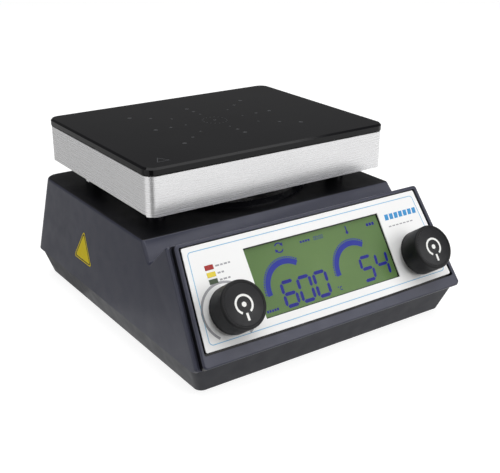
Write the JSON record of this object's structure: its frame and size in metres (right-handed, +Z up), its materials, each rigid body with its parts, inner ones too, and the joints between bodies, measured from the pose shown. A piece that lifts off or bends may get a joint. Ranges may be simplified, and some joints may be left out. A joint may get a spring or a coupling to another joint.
{
  "type": "magnetic stirrer",
  "caption": "Hotplate magnetic stirrer with a rectangular glass top in a steel skirt, standing on posts over a wedge housing whose sloping front has a display and turn-push knobs.",
  "frame": {"origin": "centre of the footprint at floor level", "axes": "+Z up, -Y to the front where the control panel is, +X to the right as seen from the front"},
  "size_m": [0.2068, 0.2356, 0.1194],
  "materials": {
    "housing_paint": "semi-gloss slate grey enamel",
    "tray_paint": "satin dark grey enamel",
    "bezel_plastic": "slate grey, satin",
    "steel_sheet": "brushed stainless",
    "plate_glass": "dark glass ceramic, polished",
    "gasket_silicone": "black silicone",
    "foot_rubber": "matte black",
    "overlay_film": "white polyester film",
    "window_clear": "clear, greenish display behind",
    "display_cell": "grey green reflective display",
    "lamp_red": "tinted lens",
    "lamp_yellow": "tinted lens",
    "lamp_green": "tinted lens",
    "knob_plastic": "matte black",
    "black_plastic": "moulded black",
    "board_laminate": "green circuit laminate",
    "zinc_steel": "bright zinc plate",
    "screw_steel": "plated",
    "cast_alloy": "as cast",
    "copper": "enamelled copper",
    "magnet_plate": "nickel plated",
    "mineral_wool": "pressed mineral fibre",
    "mica_sheet": "mica laminate",
    "fuse_glass": "clear tube"
  },
  "bodies": {
    "stirrer": {"base_tray": "tray_paint", "bearing_tube": "cast_alloy", "case_screws": "screw_steel", "control_board": "board_laminate", "control_board_screws": "screw_steel", "deck_grommet": "gasket_silicone", "deck_shield": "steel_sheet", "encoder_nuts": "screw_steel", "front_bezel": "bezel_plastic", "glass_gasket": "gasket_silicone", "glass_plate": "plate_glass", "heat_encoder_body": "black_plastic", "heat_sink": "cast_alloy", "heater_leads": "gasket_silicone", "heater_plate": "mica_sheet", "heater_track": "copper", "housing_shell": "housing_paint", "inlet_pins": "screw_steel", "insulation_pad": "mineral_wool", "insulation_pan": "steel_sheet", "lcd_frame": "black_plastic", "lcd_glass": "display_cell", "lcd_window": "window_clear", "led_green": "lamp_green", "led_red": "lamp_red", "led_yellow": "lamp_yellow", "mains_inlet": "black_plastic", "motor_bracket": "zinc_steel", "motor_coils": "copper", "motor_screws": "screw_steel", "motor_stator": "zinc_steel", "panel_overlay": "overlay_film", "plate_posts": "zinc_steel", "plate_probe": "zinc_steel", "plate_skirt": "steel_sheet", "post_screws": "screw_steel", "power_board": "board_laminate", "power_board_screws": "screw_steel", "probe_socket": "black_plastic", "rear_panel": "zinc_steel", "rear_screws": "screw_steel", "rod_bush": "zinc_steel", "rubber_feet": "foot_rubber", "shaft_bearings": "zinc_steel", "speed_encoder_body": "black_plastic", "switch_frame": "black_plastic", "transformer": "zinc_steel"},
    "rotor": {"motor_shaft": "zinc_steel", "rotor_bell": "zinc_steel", "magnet_carrier": "cast_alloy", "drive_magnets": "magnet_plate"},
    "fuse_carrier": {"fuse_drawer": "black_plastic", "fuses": "fuse_glass"},
    "power_rocker": {"switch_rocker": "black_plastic"},
    "speed_push": {"speed_encoder_plunger": "screw_steel"},
    "speed_dial": {"speed_encoder_shaft": "zinc_steel", "speed_knob": "knob_plastic"},
    "heat_push": {"heat_encoder_plunger": "screw_steel"},
    "heat_dial": {"heat_encoder_shaft": "zinc_steel", "heat_knob": "knob_plastic"}
  },
  "joints": [
    {"name": "speed_press", "type": "slide", "parent": "stirrer", "child": "speed_push", "axis": [0, 0.8162, -0.5778], "range_m": [0, 0.0006], "stiffness_N_per_m": 1500, "springref_m": -0.0008},
    {"name": "speed_turn", "type": "hinge", "parent": "speed_push", "child": "speed_dial", "pos_m": [-0.0726, -0.09275, 0.04565], "axis": [0, -0.8162, 0.5778], "continuous": true},
    {"name": "heat_press", "type": "slide", "parent": "stirrer", "child": "heat_push", "axis": [0, 0.8162, -0.5778], "range_m": [0, 0.0006], "stiffness_N_per_m": 1500, "springref_m": -0.0008},
    {"name": "heat_turn", "type": "hinge", "parent": "heat_push", "child": "heat_dial", "pos_m": [0.0726, -0.09275, 0.04565], "axis": [0, -0.8162, 0.5778], "continuous": true},
    {"name": "stir_spin", "type": "hinge", "parent": "stirrer", "child": "rotor", "pos_m": [0, 0.03278, 0.026], "axis": [0, 0, 1], "continuous": true},
    {"name": "power_switch", "type": "hinge", "parent": "stirrer", "child": "power_rocker", "pos_m": [-0.012, 0.10538, 0.044], "axis": [1, 0, 0], "range_deg": [-20, 0]},
    {"name": "fuse_pull", "type": "slide", "parent": "stirrer", "child": "fuse_carrier", "axis": [0, 1, 0], "range_m": [0, 0.018]}
  ]
}
